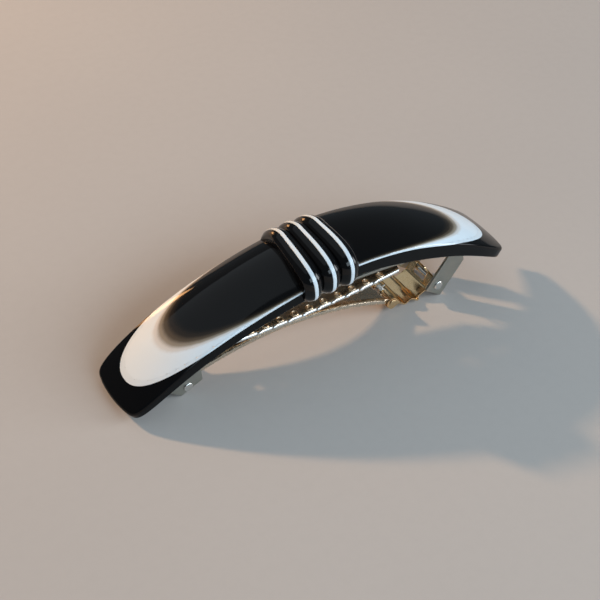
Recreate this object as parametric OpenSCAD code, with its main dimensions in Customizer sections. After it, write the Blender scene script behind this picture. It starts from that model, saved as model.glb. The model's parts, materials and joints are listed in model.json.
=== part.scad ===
// Arched hair barrette: a laminated resin bar with three banded rings,
// carried on a sprung metal clip with a snap latch.
// Millimetres. Every piece is drawn in the bar's own frame (origin under the middle of
// the arch, X along the bar, Z up) and then laid on the table by in_place().

/* [Bar] */
// Length of the bar along its underside
bar_len = 110; // [100:1:116]
// Radius of the arched underside
bar_r = 90; // [86:1:96]
// Width of the bar at the middle
bar_w = 20; // [18:0.5:22]
// Share of the width lost at each end
bar_taper = 0.045; // [0:0.005:0.1]
// How far each end bulges past its corners
end_bulge = 1.3; // [0.5:0.1:3]
// Thickness along the crest at the middle
crest_t = 7; // [6.4:0.1:7.2]
// Thickness along the crest at the ends
crest_end_t = 2.2; // [1.9:0.1:2.4]
// Thickness of the long edges at the middle
edge_t = 3.1; // [3:0.1:3.6]
// Thickness of the long edges at the ends
edge_end_t = 1.6; // [1.4:0.1:1.8]
// Radius of the crown across the bar
crown_r = 14.5; // [14:0.5:16]
// Thickness of the black lower layer
lower_t = 2.6; // [2.4:0.1:2.7]
// Thickness of the white middle layer
white_t = 0.35; // [0.2:0.05:0.4]

/* [Rings] */
// Spacing of the three rings along the bar
ring_pitch = 4.6; // [4.5:0.1:5.2]
// Width of one black band of a ring
ring_black_w = 1.8; // [1.4:0.05:1.8]
// Width of the white band of a ring
ring_white_w = 0.9; // [0.7:0.1:0.9]
// Offset of the middle ring from the middle of the bar
ring_shift = -2; // [-4:0.5:4]
// Reach of a ring to its full side
ring_half_w = 12.2; // [11.5:0.1:12.5]
// How far a ring stands out beyond the bar on its sloping side
ring_slope_out = 0.7; // [0.6:0.1:1.5]
// Lowest point of a ring under the bar
ring_low = 2.2; // [1.5:0.1:2.6]
// Highest point of a ring over the underside
ring_high = 9.8; // [8.6:0.1:10]
// Squareness of the ring outline on its full side
ring_square = 3.4; // [2.5:0.1:5]
// Squareness of the shoulder on its sloping side
ring_slope_square = 1.5; // [1.5:0.1:3.4]

/* [Clip] */
// Radius of the base plate
base_r = 170; // [160:5:180]
// Gap between the bar and the base plate at the middle
base_drop = 4.8; // [4.4:0.1:5]
// Thickness of the base plate
base_t = 0.8; // [0.6:0.1:0.9]
// Outer width of the clip over its side plates
clip_w = 11.5; // [11.5:0.1:12]
// Thickness of the side plates
side_t = 0.75; // [0.6:0.05:0.75]
// Radius of the hinge pin
hinge_pin_r = 0.85; // [0.6:0.05:0.9]
// Radius of the catch bar
catch_bar_r = 0.9; // [0.7:0.05:0.95]
// Radius of the latch pin
latch_pin_r = 0.55; // [0.45:0.05:0.6]
// Running clearance round a pin
pin_gap = 0.06; // [0.03:0.01:0.09]

/* [Arm] */
// Width of the clasp arm
arm_w = 9.2; // [8.6:0.1:9.4]
// Depth of the channel that the arm is folded into
arm_depth = 1.5; // [1.2:0.1:1.6]
// Sheet thickness of the arm
arm_sheet = 0.6; // [0.5:0.05:0.7]
// Radius of the arm along its top
arm_r = 81.5; // [80:0.5:83]
// Number of pressed dimples along the arm
arm_dimples = 9; // [3:1:9]

/* [Tension strip] */
// Radius that the tension strip is bowed to
tension_r = 265; // [240:5:300]
// Sheet thickness of the tension strip
tension_t = 0.4; // [0.3:0.05:0.5]
// Width of the tension strip
tension_w = 10; // [9:0.1:10]
// Spacing of its pierced eyelets
eyelet_pitch = 4; // [3.6:0.1:4.4]
// Number of eyelets in a row
eyelet_count = 10; // [4:1:11]

/* [Latch] */
// Sheet thickness of the latch lever
latch_sheet = 0.5; // [0.4:0.05:0.6]
// Half the width of the thumb tab
tab_half_w = 5.3; // [5:0.1:5.4]
// Half the width of the snap nose
nose_half_w = 4.5; // [3.5:0.1:4.6]
// Height of the grip waves on the thumb tab
wave_h = 0.5; // [0.2:0.05:0.55]
// Spacing of the grip waves
wave_pitch = 4; // [3.5:0.1:4.5]

/* [Hidden] */
$fn = 96;
big = 60;

// Angle of the bar's end, seen from the centre of the underside arc
end_angle = bar_len / 2 / bar_r * 180 / PI;
// A point of the XZ plane at arc length s and height h over the underside
function on_bar(s, h) = [(bar_r + h) * sin(s / bar_r * 180 / PI),
    (bar_r + h) * cos(s / bar_r * 180 / PI) - bar_r];
// Radius of the circle through the crown point [0, top] and the point p, centred on X = 0
function arch_radius(top, p) = (p[0] * p[0] + pow(top - p[1], 2)) / (2 * (top - p[1]));
crest_arc_r = arch_radius(crest_t, on_bar(bar_len / 2, crest_end_t));
edge_arc_r = arch_radius(edge_t, on_bar(bar_len / 2, edge_end_t));
// Distance from the crown's centre to the long edges, measured down
crown_drop = sqrt(crown_r * crown_r - bar_w * bar_w / 4);

// Places of the pins in the XZ plane
hinge_at = [-36.5, -15.5];
catch_at = [33.9, -18.9];
latch_at = [20.3, -18.3];
// Direction of the catch tower, from its foot up to the base plate
tower_lean = 36;
tower_half = 3;
tower_foot = 2.4;
plate_half_w = clip_w / 2;
side_in = plate_half_w - side_t;
// Crown of the arm along X and the height of its top there
arm_mid_x = -14;
arm_top_z = -10.4;
// Lowest line of the tension strip's top
tension_mid_x = -1;
tension_top_z = -9.9;
tension_half = 26.3;
tongue_from = 23.6;
tongue_half_w = 2.2;
base_half = 40.6;

// Directions along and across the catch tower, and the two places it rests the clip on
tower_up = [sin(tower_lean), cos(tower_lean)];
tower_side = [cos(tower_lean), -sin(tower_lean)];
foot_at = catch_at - tower_foot * tower_up + tower_half * tower_side;
ear_tip = [-38.3, -17.5];
// The barrette lies on the tips of the hinge ears and on the feet of the catch tower
rest_tilt = atan2(ear_tip[1] - foot_at[1], foot_at[0] - ear_tip[0]);
rest_lift = -(ear_tip[0] * sin(rest_tilt) + ear_tip[1] * cos(rest_tilt));
end_top = on_bar(bar_len / 2, crest_end_t);
rest_shift = end_top[1] * sin(rest_tilt);
// The rings reach further on one side, so the bar lies a little off the middle of the whole
rest_side = (ring_half_w - bar_w / 2 - ring_slope_out) / 2;

module in_place() {
    translate([rest_shift, rest_side, rest_lift]) rotate([0, -rest_tilt, 0]) children();
}

// Extrudes a shape drawn in X and Z between two places along Y
module slab(y0, y1) {
    translate([0, y1, 0]) rotate([90, 0, 0]) linear_extrude(y1 - y0) children();
}

// The same slab on both sides of the middle plane
module both_sides(y0, y1) {
    slab(y0, y1) children();
    slab(-y1, -y0) children();
}

// A cylinder along Y
module rod(at, r, y0, y1) {
    slab(y0, y1) translate(at) circle(r);
}

// A band between two concentric circles, cut to a range of X
module arc_band(mid_x, mid_z, r_out, r_in, x0, x1) {
    intersection() {
        difference() {
            translate([mid_x, mid_z]) circle(r_out, $fn = 240);
            translate([mid_x, mid_z]) circle(r_in, $fn = 240);
        }
        translate([x0, -big]) square([x1 - x0, 2 * big]);
    }
}

/* ---- bar ---- */
// Scale that turns a square into one with rounded corners, at polar angle q
function rounded(q) = pow(pow(abs(cos(q)), 13) + pow(abs(sin(q)), 13), -1 / 13);
// One point of the end outline: distance along the bar, then across it
function end_point(q) =
    let (along = cos(q) * rounded(q), across = sin(q) * rounded(q))
    [along * (bar_len / 2 - end_bulge * across * across) - bar_len / 2,
     across * bar_w / 2 * (1 - bar_taper * along * along)];

// Everything inside the plan outline of the right half, square to the bar's end
module half_plan() {
    at_end = on_bar(bar_len / 2, 0);
    intersection() {
        translate([at_end[0], 0, at_end[1]]) rotate([0, end_angle, 0])
            linear_extrude(2 * big, center = true) polygon([for (q = [-90:3:90]) end_point(q)]);
        translate([0, -bar_w, -big]) cube([2 * big, 2 * bar_w, 2 * big]);
    }
}

// Everything under the crowned top of the bar
module under_top() {
    intersection() {
        translate([0, 0, edge_t - edge_arc_r]) rotate([90, 0, 0]) rotate_extrude($fn = 240)
            intersection() {
                translate([edge_arc_r - crown_drop, 0]) circle(crown_r);
                translate([1, -bar_w * 0.6]) square([2 * edge_arc_r, bar_w * 1.2]);
            }
        slab(-bar_w, bar_w) translate([0, crest_t - crest_arc_r]) circle(crest_arc_r, $fn = 240);
    }
}

// The part of the bar between two heights over its underside
module bar_layer(h0, h1) {
    intersection() {
        under_top();
        union() {
            half_plan();
            mirror([1, 0, 0]) half_plan();
        }
        slab(-bar_w, bar_w) arc_band(0, -bar_r, bar_r + h1, bar_r + h0, -big, big);
    }
}

module bar_lower_layer() {
    color("black") in_place() bar_layer(0, lower_t);
}

module bar_white_layer() {
    color("white") in_place() bar_layer(lower_t, lower_t + white_t);
}

module bar_upper_layer() {
    color([0.07, 0.06, 0.05]) in_place() bar_layer(lower_t + white_t, crest_t + 1);
}

/* ---- rings ---- */
bond_gap = 0.1;
ring_mid = (ring_high - ring_low) / 2;
ring_half_h = (ring_high + ring_low) / 2;
// Keeps the sign while raising to a power below 1
function signed_pow(v, p) = sign(v) * pow(abs(v), p);
// The crown of a ring stays level as far as this beyond the middle, then slopes
ring_level_w = 3;
ring_foot_square = 6;
function ring_point(q, offset, reach, square) =
    [offset + (reach - offset) * signed_pow(cos(q), 2 / square),
    ring_mid + ring_half_h * signed_pow(sin(q), 2 / square)];
ring_outline = concat(
    [for (q = [5:5:90]) ring_point(q, ring_level_w, bar_w / 2 + ring_slope_out, ring_slope_square)],
    [for (q = [90:5:270]) ring_point(q, 0, ring_half_w, ring_square)],
    [for (q = [275:5:360]) ring_point(q, 0, bar_w / 2 + ring_slope_out, ring_foot_square)]);
bore_half = bar_w / 2 + bond_gap;
bore_outline = concat([[-bore_half, -bond_gap], [bore_half, -bond_gap]],
    [for (k = [10:-1:-10]) let (y = k / 10 * bar_w / 2)
        [y / bar_w * 2 * bore_half, edge_t - crown_drop + sqrt(crown_r * crown_r - y * y) + bond_gap]]);

// The wedge between two planes through the centre of the underside arc
module arc_wedge(w) {
    turn = w / 2 / bar_r * 180 / PI;
    slab(-2 * bar_w, 2 * bar_w) polygon([[0, 0], 2 * bar_r * [-sin(turn), cos(turn)],
        2 * bar_r * [sin(turn), cos(turn)]]);
}

// One band of a ring, centred at arc length s and w wide at the bar's underside
module ring_band(s, w) {
    translate([0, 0, -bar_r]) rotate([0, s / bar_r * 180 / PI, 0]) intersection() {
        arc_wedge(w);
        translate([0, 0, bar_r]) rotate([90, 0, 90]) linear_extrude(2 * w, center = true)
            difference() {
                polygon(ring_outline);
                polygon(bore_outline);
            }
    }
}

// side is -1 for the left black band of a ring, 0 for the white one, 1 for the right one
module ring_piece(index, side) {
    w = side == 0 ? ring_white_w : ring_black_w;
    s = ring_shift + index * ring_pitch + side * (ring_white_w + ring_black_w) / 2;
    color(side == 0 ? "white" : "black") in_place() ring_band(s, w);
}

module ring_left_outer_black() { ring_piece(-1, -1); }
module ring_left_white() { ring_piece(-1, 0); }
module ring_left_inner_black() { ring_piece(-1, 1); }
module ring_middle_left_black() { ring_piece(0, -1); }
module ring_middle_white() { ring_piece(0, 0); }
module ring_middle_right_black() { ring_piece(0, 1); }
module ring_right_inner_black() { ring_piece(1, -1); }
module ring_right_white() { ring_piece(1, 0); }
module ring_right_outer_black() { ring_piece(1, 1); }

/* ---- base plate, pins and bond pads ---- */
pad_from = 30;
pad_to = 39.2;
pad_half_w = 4.4;
base_mid_z = -base_drop - base_r;

// Black adhesive that fills the wedge between the bar and one end of the base plate
module bond_pad() {
    color([0.08, 0.08, 0.08]) slab(-pad_half_w, pad_half_w) difference() {
        intersection() {
            translate([0, -bar_r]) circle(bar_r, $fn = 240);
            translate([pad_from, -big]) square([pad_to - pad_from, 2 * big]);
        }
        translate([0, base_mid_z]) circle(base_r, $fn = 240);
    }
}

module bond_pad_hinge_end() {
    in_place() mirror([1, 0, 0]) bond_pad();
}

module bond_pad_latch_end() {
    in_place() bond_pad();
}

keeper_x = 25;
keeper_len = 1.4;
keeper_t = 0.6;
keeper_half_w = 3.2;
keeper_gap = 0.25;
slot_x = [-20, -10, 0, 10, 20];
slot_len = 5;
slot_r = 0.9;
side_hole_x = [-15, -5, 5, 15];
side_hole_y = 3.4;
side_hole_r = 0.55;
flare_len = 4.2;
plate_corner = [40.5, -9.75];
ear = [[-plate_corner[0], plate_corner[1]], [-41, -15.2], ear_tip, [-32.7, -15.1], [-33.4, -8.6]];
tower = [catch_at - tower_foot * tower_up - tower_half * tower_side, foot_at,
    catch_at + 8.4 * tower_up + tower_half * tower_side, plate_corner,
    catch_at + 9.9 * tower_up - tower_half * tower_side];

// Height of the base plate's top at x
function base_z(x) = base_mid_z + sqrt(base_r * base_r - x * x);

// A strap under the base plate that one end of the tension strip sits in
module keeper(x) {
    roof = base_z(x) - base_t / 2;
    floor_z = tension_z(x) - tension_t - keeper_gap;
    translate([x, 0, 0]) rotate([90, 0, 90]) linear_extrude(keeper_len, center = true)
        difference() {
            translate([-keeper_half_w, floor_z - keeper_t])
                square([2 * keeper_half_w, roof - floor_z + keeper_t]);
            translate([-keeper_half_w + keeper_t, floor_z])
                square([2 * (keeper_half_w - keeper_t), roof - floor_z + keeper_t]);
        }
}

// A long hole through the base plate with round ends
module slot(x) {
    for (side = [-1, 1]) translate([x + side * slot_len / 2, 0, -big / 2]) cylinder(big, slot_r, slot_r);
    translate([x - slot_len / 2, -slot_r, -big / 2]) cube([slot_len, 2 * slot_r, big]);
}

module base_plate() {
    color([0.62, 0.61, 0.57]) in_place() difference() {
        union() {
            slab(-side_in, side_in) arc_band(0, base_mid_z, base_r, base_r - base_t, -base_half, base_half);
            slab(-plate_half_w, plate_half_w)
                arc_band(0, base_mid_z, base_r, base_r - base_t, -base_half, flare_len - base_half);
            slab(-plate_half_w, plate_half_w)
                arc_band(0, base_mid_z, base_r, base_r - base_t, base_half - flare_len, base_half);
            both_sides(side_in, plate_half_w) polygon(ear);
            both_sides(side_in, plate_half_w) polygon(tower);
            keeper(tension_mid_x - keeper_x);
            keeper(tension_mid_x + keeper_x);
        }
        for (x = slot_x) slot(x);
        for (x = side_hole_x, side = [-1, 1])
            translate([x, side * side_hole_y, -big / 2]) cylinder(big, side_hole_r, side_hole_r);
        rod(hinge_at, hinge_pin_r, -clip_w, clip_w);
        rod(catch_at, catch_bar_r, -clip_w, clip_w);
    }
}

// A pin along Y with a low rivet head at each end
module riveted_pin(at, r, half_len, head_r, head_t) {
    rod(at, r, -half_len, half_len);
    rod(at, head_r, half_len, half_len + head_t);
    rod(at, head_r, -half_len - head_t, -half_len);
}

module hinge_pin() {
    color([0.75, 0.74, 0.7]) in_place() riveted_pin(hinge_at, hinge_pin_r, plate_half_w, 1.15, 0.4);
}

module catch_bar() {
    color([0.75, 0.74, 0.7]) in_place() riveted_pin(catch_at, catch_bar_r, plate_half_w, 1.25, 0.4);
}

/* ---- tension strip ---- */
tension_mid_z = tension_top_z + tension_r;
eyelet_y = 3.5;
eyelet_r = 0.85;
eyelet_hole_r = 0.45;
eyelet_h = 0.45;
bump_r = 0.45;
bump_y = tension_w / 2 - bump_r;

// Height of the strip's top at x
function tension_z(x) = tension_mid_z - sqrt(tension_r * tension_r - pow(x - tension_mid_x, 2));

// Place of eyelet k of a row along X
function eyelet_x(k) = tension_mid_x + (k - (eyelet_count - 1) / 2) * eyelet_pitch;

// The strip's profile over a range of X; it is bowed the opposite way to the bar
module tension_band(x0, x1) {
    arc_band(tension_mid_x, tension_mid_z, tension_r + tension_t, tension_r, x0, x1);
}

// A raised disc standing in the strip
module raised(x, y, r) {
    translate([x, y, tension_z(x) - tension_t / 2]) cylinder(eyelet_h + tension_t / 2, r, r, $fn = 24);
}

module tension_strip() {
    color([0.78, 0.76, 0.72]) in_place() difference() {
        union() {
            slab(-tension_w / 2, tension_w / 2)
                tension_band(tension_mid_x - tongue_from, tension_mid_x + tongue_from);
            slab(-tongue_half_w, tongue_half_w)
                tension_band(tension_mid_x - tension_half, tension_mid_x + tension_half);
            for (k = [0:eyelet_count - 1], side = [-1, 1])
                raised(eyelet_x(k), side * eyelet_y, eyelet_r);
            for (k = [1:eyelet_count - 1], side = [-1, 1])
                raised(eyelet_x(k - 0.5), side * bump_y, bump_r);
        }
        for (k = [0:eyelet_count - 1], side = [-1, 1])
            translate([eyelet_x(k), side * eyelet_y, -big / 2])
                cylinder(big, eyelet_hole_r, eyelet_hole_r, $fn = 24);
    }
}

/* ---- clasp arm ---- */
arm_mid_z = arm_top_z - arm_r;
arm_web_from = -33.4;
arm_web_to = 18.6;
hinge_lug_r = 1.7;
latch_lug_r = 1.1;
arm_in = arm_w / 2 - arm_sheet;
first_dimple = -27.4;
dimple_pitch = 5;
dimple_r = 1;

module arm_flange() {
    arc_band(arm_mid_x, arm_mid_z, arm_r, arm_r - arm_depth, hinge_at[0] + 0.4, latch_at[0]);
    translate(hinge_at) circle(hinge_lug_r);
    translate(latch_at) circle(latch_lug_r);
}

module clasp_arm() {
    color([0.72, 0.7, 0.66]) in_place() difference() {
        union() {
            both_sides(arm_in, arm_w / 2) arm_flange();
            slab(-arm_w / 2, arm_w / 2)
                arc_band(arm_mid_x, arm_mid_z, arm_r, arm_r - arm_sheet, arm_web_from, arm_web_to);
        }
        rod(hinge_at, hinge_pin_r + pin_gap, -clip_w, clip_w);
        rod(latch_at, latch_pin_r, -clip_w, clip_w);
        for (k = [0:arm_dimples - 1])
            translate([first_dimple + k * dimple_pitch, 0, -big / 2])
                cylinder(big / 2, dimple_r, dimple_r, $fn = 32);
    }
}

/* ---- latch ---- */
tab_from = 18.9;
tab_wide_to = 28.8;
tab_to = 29.6;
tab_z = -19.9;
tab_fall = 0.155;
first_wave = 20.2;
nose_root = [31.6, -20.3];
nose_tip = [33.55, -16.9];
nose_top = [30.6, -12.6];
cheek_in = arm_w / 2 + 0.2;
latch_head_r = 0.9;

// Outer line of the thumb tab at x
function tab_line(x) = tab_z - tab_fall * (x - first_wave)
    - wave_h * cos(360 * (x - first_wave) / wave_pitch);
tab_points = [for (x = [tab_from:0.3:tab_to]) [x, tab_line(x)]];
nose_points = [nose_root, nose_tip + [-0.15, -0.3], nose_tip, nose_tip + [-0.25, 0.35], nose_top];

// Unit normal to the left of the line from a to b
function left_of(a, b) = [a[1] - b[1], b[0] - a[0]] / norm(b - a);
// The normal at point k of a line, from its neighbours
function normal_at(p, k) = left_of(p[max(k - 1, 0)], p[min(k + 1, len(p) - 1)]);

// A sheet of the given thickness on the left of a line
module ribbon(p, t) {
    back = [for (k = [len(p) - 1:-1:0]) p[k] + t * normal_at(p, k)];
    polygon(concat(p, back));
}

cheek_r = 1.3;
cheek_foot_x = [19, 20.2, 22.2, 23.6];

// The plate beside the arm that the latch pin goes through; its foot is buried in the tab
module cheek() {
    difference() {
        union() {
            translate(latch_at) circle(cheek_r);
            polygon(concat([latch_at + [-cheek_r, 0]],
                [for (x = cheek_foot_x) [x, tab_line(x) + latch_sheet / 2]],
                [latch_at + [0.9, 0.9]]));
        }
        translate(latch_at) circle(latch_pin_r + pin_gap);
    }
}

module latch_lever() {
    color([0.86, 0.72, 0.45]) in_place() union() {
        slab(-nose_half_w, nose_half_w) ribbon(concat(tab_points, nose_points), latch_sheet);
        slab(-tab_half_w, tab_half_w)
            ribbon([for (x = [tab_from:0.3:tab_wide_to]) [x, tab_line(x)]], latch_sheet);
        both_sides(cheek_in, tab_half_w) cheek();
    }
}

module latch_pin() {
    color([0.8, 0.66, 0.4]) in_place()
        riveted_pin(latch_at, latch_pin_r, tab_half_w + 0.1, latch_head_r, 0.3);
}

spring_wire_r = 0.2;
spring_coil_r = 0.82;
spring_turns = 6;
spring_pitch = 0.42;

// A straight piece of spring wire between two places in the XZ plane
module spring_leg(a, b, y) {
    translate([a[0], y, a[1]]) rotate([0, atan2(b[0] - a[0], b[1] - a[1]), 0])
        cylinder(norm(b - a), spring_wire_r, spring_wire_r);
}

module latch_spring() {
    half = (spring_turns - 1) / 2 * spring_pitch;
    color([0.7, 0.7, 0.7]) in_place() union() {
        for (k = [0:spring_turns - 1])
            translate([latch_at[0], k * spring_pitch - half, latch_at[1]]) rotate([90, 0, 0])
                rotate_extrude($fn = 48) translate([spring_coil_r, 0]) circle(spring_wire_r + 0.02, $fn = 16);
        spring_leg(latch_at - spring_coil_r * [sin(28), cos(28)], latch_at + [-4.1, 1.17], -half);
        spring_leg(latch_at - [0, spring_coil_r], latch_at + [2.2, -0.15], half);
    }
}

bar_lower_layer();
bar_white_layer();
bar_upper_layer();
ring_left_outer_black();
ring_left_white();
ring_left_inner_black();
ring_middle_left_black();
ring_middle_white();
ring_middle_right_black();
ring_right_inner_black();
ring_right_white();
ring_right_outer_black();
bond_pad_hinge_end();
bond_pad_latch_end();
base_plate();
hinge_pin();
catch_bar();
tension_strip();
clasp_arm();
latch_lever();
latch_pin();
latch_spring();
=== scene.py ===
"""Looks of the arched hair barrette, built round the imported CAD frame.

Shapes are worked out in millimetres in the bar's own frame: the origin under the middle of the
arch, X along the bar, Z up. TO_ROW turns that frame into the row frame in metres.
"""

import json
import math

import bmesh
import bpy
import numpy as np
from mathutils import Matrix, Vector, noise
from mathutils.geometry import delaunay_2d_cdt


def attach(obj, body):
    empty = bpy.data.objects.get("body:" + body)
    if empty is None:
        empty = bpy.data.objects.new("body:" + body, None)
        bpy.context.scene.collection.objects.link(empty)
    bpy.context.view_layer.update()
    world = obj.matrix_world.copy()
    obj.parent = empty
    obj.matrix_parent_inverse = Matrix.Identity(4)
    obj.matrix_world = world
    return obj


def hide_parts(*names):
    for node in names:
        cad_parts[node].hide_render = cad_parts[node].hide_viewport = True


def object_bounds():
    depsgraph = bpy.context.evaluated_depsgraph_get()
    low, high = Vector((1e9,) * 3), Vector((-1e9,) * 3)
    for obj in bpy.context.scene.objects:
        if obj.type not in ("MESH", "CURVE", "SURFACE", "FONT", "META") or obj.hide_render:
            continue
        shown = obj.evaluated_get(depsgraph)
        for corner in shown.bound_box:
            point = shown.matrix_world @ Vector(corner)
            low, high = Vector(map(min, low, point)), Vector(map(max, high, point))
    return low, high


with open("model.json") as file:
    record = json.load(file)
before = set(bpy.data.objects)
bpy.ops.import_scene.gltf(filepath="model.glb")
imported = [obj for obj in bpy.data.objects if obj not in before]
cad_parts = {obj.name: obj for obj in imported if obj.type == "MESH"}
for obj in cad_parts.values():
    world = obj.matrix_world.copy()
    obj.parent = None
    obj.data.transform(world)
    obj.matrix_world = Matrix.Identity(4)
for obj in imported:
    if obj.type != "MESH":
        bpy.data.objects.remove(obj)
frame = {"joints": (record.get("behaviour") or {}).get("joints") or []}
cad_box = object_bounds()

# ---------------------------------------------------------------- frame
# Axes of the hinge pin, the catch bar and the latch pin, as (x, z)
HINGE = (-36.5, -15.5)
CATCH = (33.9, -18.9)
LATCH = (20.3, -18.3)
MM = 0.001
joint_at = {j["name"]: Vector(j["pos_m"]) for j in frame["joints"] if "pos_m" in j}
row_line = joint_at["latch_pivot"] - joint_at["arm_hinge"]
TILT = math.atan2(row_line.z, row_line.x) - math.atan2(LATCH[1] - HINGE[1], LATCH[0] - HINGE[0])
TURN = Matrix.Rotation(-TILT, 4, "Y")
OFFSET = joint_at["arm_hinge"] - TURN @ Vector((HINGE[0], 0, HINGE[1])) * MM
TO_ROW = Matrix.Translation(OFFSET) @ TURN @ Matrix.Scale(MM, 4)
TO_ROW_NP = np.array(TO_ROW)


# ---------------------------------------------------------------- meshes
# Points nearer than this, in metres, are one point
SAME_POINT = 2e-7


def to_row(points):
    points = np.asarray(points, float).reshape(-1, 3)
    return points @ TO_ROW_NP[:3, :3].T + TO_ROW_NP[:3, 3]


def merge(parts):
    """Joins (points, faces) pairs into one pair."""
    points, faces, start = [], [], 0
    for p, f in parts:
        p = np.asarray(p, float).reshape(-1, 3)
        points.append(p)
        faces += [tuple(i + start for i in face) for face in f]
        start += len(p)
    return np.concatenate(points), faces


def add_piece(name, parts, body, nodes, slot, material, sharp_deg=40, tones=None):
    """Makes an object from (points, faces) pairs in bar millimetres, and ties it to the frame.

    tones holds one number or function of (x, y, z) for each part, kept as a mesh attribute.
    """
    points, faces = merge(parts)
    mesh = bpy.data.meshes.new(name)
    mesh.from_pydata(to_row(points).tolist(), [], faces)
    if tones is not None:
        values = []
        for (p, _), tone in zip(parts, tones):
            values += [tone(*q) if callable(tone) else tone for q in np.asarray(p).reshape(-1, 3)]
        mesh.attributes.new("tone", "FLOAT", "POINT").data.foreach_set("value", values)
    bm = bmesh.new()
    bm.from_mesh(mesh)
    bmesh.ops.remove_doubles(bm, verts=bm.verts, dist=SAME_POINT)
    bmesh.ops.recalc_face_normals(bm, faces=bm.faces)
    bm.to_mesh(mesh)
    bm.free()
    mesh.polygons.foreach_set("use_smooth", [True] * len(mesh.polygons))
    mesh.set_sharp_from_angle(angle=math.radians(sharp_deg))
    return place(mesh, name, body, nodes, slot, material)


def new_object(name, data):
    obj = bpy.data.objects.new(name, data)
    bpy.context.scene.collection.objects.link(obj)
    return obj


def place(mesh, name, body, nodes, slot, material):
    mesh.materials.append(material)
    obj = new_object(name, mesh)
    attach(obj, body)
    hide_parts(*nodes)
    return obj


def fillet(corners, radius, step=0.12):
    """A closed outline with its corners rounded; radius is one number or one for each corner."""
    count = len(corners)
    radii = radius if hasattr(radius, "__len__") else [radius] * count
    out = []
    for k in range(count):
        here = Vector(corners[k])
        before = Vector(corners[k - 1]) - here
        after = Vector(corners[(k + 1) % count]) - here
        angle = before.angle(after)
        r = radii[k]
        cut = r / math.tan(angle / 2) if r > 0 else 0
        cut = min(cut, 0.49 * before.length, 0.49 * after.length)
        if cut < 1e-6:
            out.append(tuple(here))
            continue
        r = cut * math.tan(angle / 2)
        start, end = here + before.normalized() * cut, here + after.normalized() * cut
        inward = (before.normalized() + after.normalized()).normalized()
        centre = here + inward * (r / math.sin(angle / 2))
        sweep = math.pi - angle
        steps = max(2, int(r * sweep / step) + 1)
        a, b = start - centre, end - centre
        for i in range(steps + 1):
            t = i / steps
            mixed = (a * math.sin((1 - t) * sweep) + b * math.sin(t * sweep)) / math.sin(sweep)
            out.append(tuple(centre + mixed))
    return out


def dense(loop, step):
    """The same closed outline with no stretch longer than step."""
    out = []
    for k, p in enumerate(loop):
        a, b = Vector(p), Vector(loop[(k + 1) % len(loop)])
        parts = max(1, int(math.ceil((b - a).length / step)))
        out += [tuple(a.lerp(b, i / parts)) for i in range(parts)]
    return out


def circle(at, r, count=32):
    return [(at[0] + r * math.cos(k * math.tau / count), at[1] + r * math.sin(k * math.tau / count))
            for k in range(count)]


def arc_points(centre, r, a0, a1, count):
    return [(centre[0] + r * math.cos(math.radians(a)), centre[1] + r * math.sin(math.radians(a)))
            for a in np.linspace(a0, a1, count)]


def loop_area(loop):
    p = np.array(loop)
    q = np.roll(p, -1, 0)
    return float((p[:, 0] * q[:, 1] - p[:, 1] * q[:, 0]).sum() / 2)


def inside(points, loop):
    """Which points lie inside a closed loop."""
    p = np.array(loop)
    q = np.roll(p, -1, 0)
    x, y = points[:, 0][:, None], points[:, 1][:, None]
    crosses = (p[:, 1] > y) != (q[:, 1] > y)
    height = np.where(q[:, 1] == p[:, 1], 1e-12, q[:, 1] - p[:, 1])
    at = (q[:, 0] - p[:, 0]) * (y - p[:, 1]) / height + p[:, 0]
    return (crosses & (x < at)).sum(1) % 2 == 1


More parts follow.
